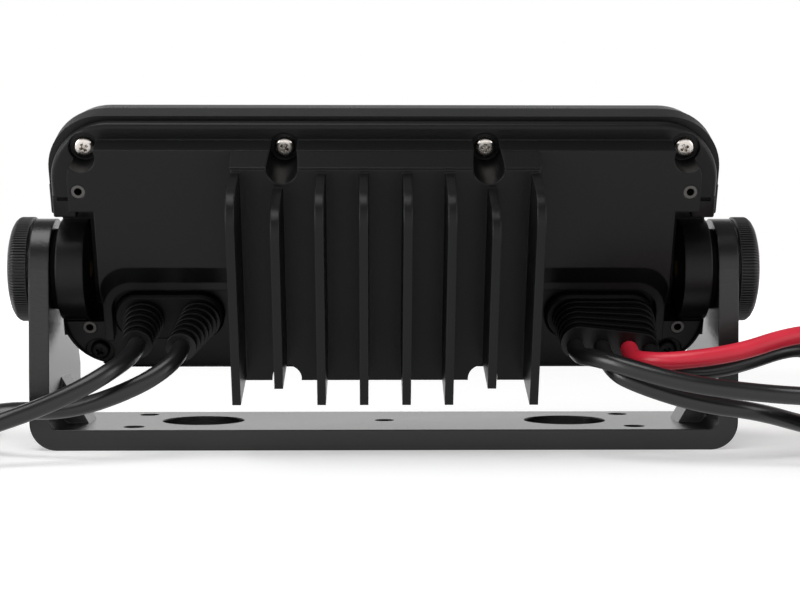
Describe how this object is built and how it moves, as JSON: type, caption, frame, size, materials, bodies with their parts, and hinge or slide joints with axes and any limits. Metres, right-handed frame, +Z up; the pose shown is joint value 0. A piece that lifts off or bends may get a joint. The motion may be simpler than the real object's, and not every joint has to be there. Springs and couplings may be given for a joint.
{
  "type": "marine stereo",
  "caption": "Marine radio head with a finned cast back and a knob and keys in front, tilted in a U bracket by two knurled clamp knobs, with cables in rubber boots.",
  "frame": {"origin": "centre of the bracket's middle hole, in the plane of its underside", "axes": "+X along the bracket to the right seen from the finned back, +Y towards the operating front, +Z up"},
  "size_m": [0.3735, 0.1204, 0.1003],
  "materials": {
    "painted_metal": "matt black powder coat",
    "cast_black": "black coated die casting",
    "washer_plastic": "matt black",
    "knob_plastic": "matt black",
    "case_plastic": "fine grain black",
    "steel": "nickel plated",
    "brass": "turned brass",
    "rubber": "matt black",
    "key_rubber": "matt dark grey",
    "lens": "smoked window",
    "display": "dark glass",
    "board": "green solder mask",
    "black_sheath": "soft black sheath",
    "red_sheath": "soft red sheath"
  },
  "bodies": {
    "base": {"bracket": "painted_metal", "pivot_washers": "washer_plastic", "outer_left_lead": "black_sheath", "inner_left_lead": "black_sheath", "first_black_lead": "black_sheath", "second_black_lead": "black_sheath", "red_lead": "red_sheath", "third_black_lead": "black_sheath", "outer_left_coil": "black_sheath", "inner_left_coil": "black_sheath", "first_black_coil": "black_sheath", "second_black_coil": "black_sheath", "red_coil": "red_sheath", "third_black_coil": "black_sheath"},
    "head": {"rear_housing": "cast_black", "case_screws": "steel", "mounting_inserts": "steel", "case_seal": "rubber", "front_case": "case_plastic", "front_bezel": "case_plastic", "display_lens": "lens", "display_module": "display", "control_board": "board", "key_switches": "knob_plastic", "encoder": "steel", "main_board": "board", "amplifier_chips": "display", "board_screws": "steel", "left_gland_plate": "rubber", "right_gland_plate": "rubber", "outer_left_boot": "rubber", "inner_left_boot": "rubber", "right_cable_boot": "rubber"},
    "left_washer": {"left_clamp_washer": "steel"},
    "left_knob": {"left_clamp_stud": "brass", "left_clamp_knob": "knob_plastic"},
    "right_washer": {"right_clamp_washer": "steel"},
    "right_knob": {"right_clamp_stud": "brass", "right_clamp_knob": "knob_plastic"},
    "key_1": {"key_1": "key_rubber"},
    "key_2": {"key_2": "key_rubber"},
    "key_3": {"key_3": "key_rubber"},
    "key_4": {"key_4": "key_rubber"},
    "key_5": {"key_5": "key_rubber"},
    "key_6": {"key_6": "key_rubber"},
    "volume_push": {"push_sensor": "steel"},
    "volume": {"encoder_shaft": "steel", "volume_knob": "knob_plastic"}
  },
  "joints": [
    {"name": "head_tilt", "type": "hinge", "parent": "base", "child": "head", "pos_m": [0, -0.0105, 0.0525], "axis": [1, 0, 0], "range_deg": [-60, 14], "deforming": ["outer_left_lead", "inner_left_lead", "first_black_lead", "second_black_lead", "red_lead", "third_black_lead"]},
    {"name": "left_clamp_travel", "type": "slide", "parent": "head", "child": "left_washer", "axis": [-1, 0, 0], "range_m": [0, 0.0024]},
    {"name": "left_clamp_turn", "type": "hinge", "parent": "left_washer", "child": "left_knob", "pos_m": [-0.103, -0.0105, 0.0525], "axis": [-1, 0, 0], "range_deg": [0, 1080]},
    {"name": "right_clamp_travel", "type": "slide", "parent": "head", "child": "right_washer", "axis": [1, 0, 0], "range_m": [0, 0.0024]},
    {"name": "right_clamp_turn", "type": "hinge", "parent": "right_washer", "child": "right_knob", "pos_m": [0.103, -0.0105, 0.0525], "axis": [1, 0, 0], "range_deg": [0, 1080]},
    {"name": "key_1_press", "type": "slide", "parent": "head", "child": "key_1", "axis": [0, -0.9205, -0.3907], "range_m": [0, 0.0008], "stiffness_N_per_m": 800, "springref_m": -0.001},
    {"name": "key_2_press", "type": "slide", "parent": "head", "child": "key_2", "axis": [0, -0.9205, -0.3907], "range_m": [0, 0.0008], "stiffness_N_per_m": 800, "springref_m": -0.001},
    {"name": "key_3_press", "type": "slide", "parent": "head", "child": "key_3", "axis": [0, -0.9205, -0.3907], "range_m": [0, 0.0008], "stiffness_N_per_m": 800, "springref_m": -0.001},
    {"name": "key_4_press", "type": "slide", "parent": "head", "child": "key_4", "axis": [0, -0.9205, -0.3907], "range_m": [0, 0.0008], "stiffness_N_per_m": 800, "springref_m": -0.001},
    {"name": "key_5_press", "type": "slide", "parent": "head", "child": "key_5", "axis": [0, -0.9205, -0.3907], "range_m": [0, 0.0008], "stiffness_N_per_m": 800, "springref_m": -0.001},
    {"name": "key_6_press", "type": "slide", "parent": "head", "child": "key_6", "axis": [0, -0.9205, -0.3907], "range_m": [0, 0.0008], "stiffness_N_per_m": 800, "springref_m": -0.001},
    {"name": "volume_press", "type": "slide", "parent": "head", "child": "volume_push", "axis": [0, -0.9205, -0.3907], "range_m": [0, 0.0008], "stiffness_N_per_m": 1500, "springref_m": -0.001},
    {"name": "volume_turn", "type": "hinge", "parent": "volume_push", "child": "volume", "pos_m": [0.058, -0.0069, 0.06706], "axis": [0, 0.9205, 0.3907], "continuous": true}
  ],
  "couplings": [
    {"joint": "left_clamp_turn", "follows": "left_clamp_travel", "rad_per_m": 7854},
    {"joint": "right_clamp_turn", "follows": "right_clamp_travel", "rad_per_m": 7854}
  ]
}
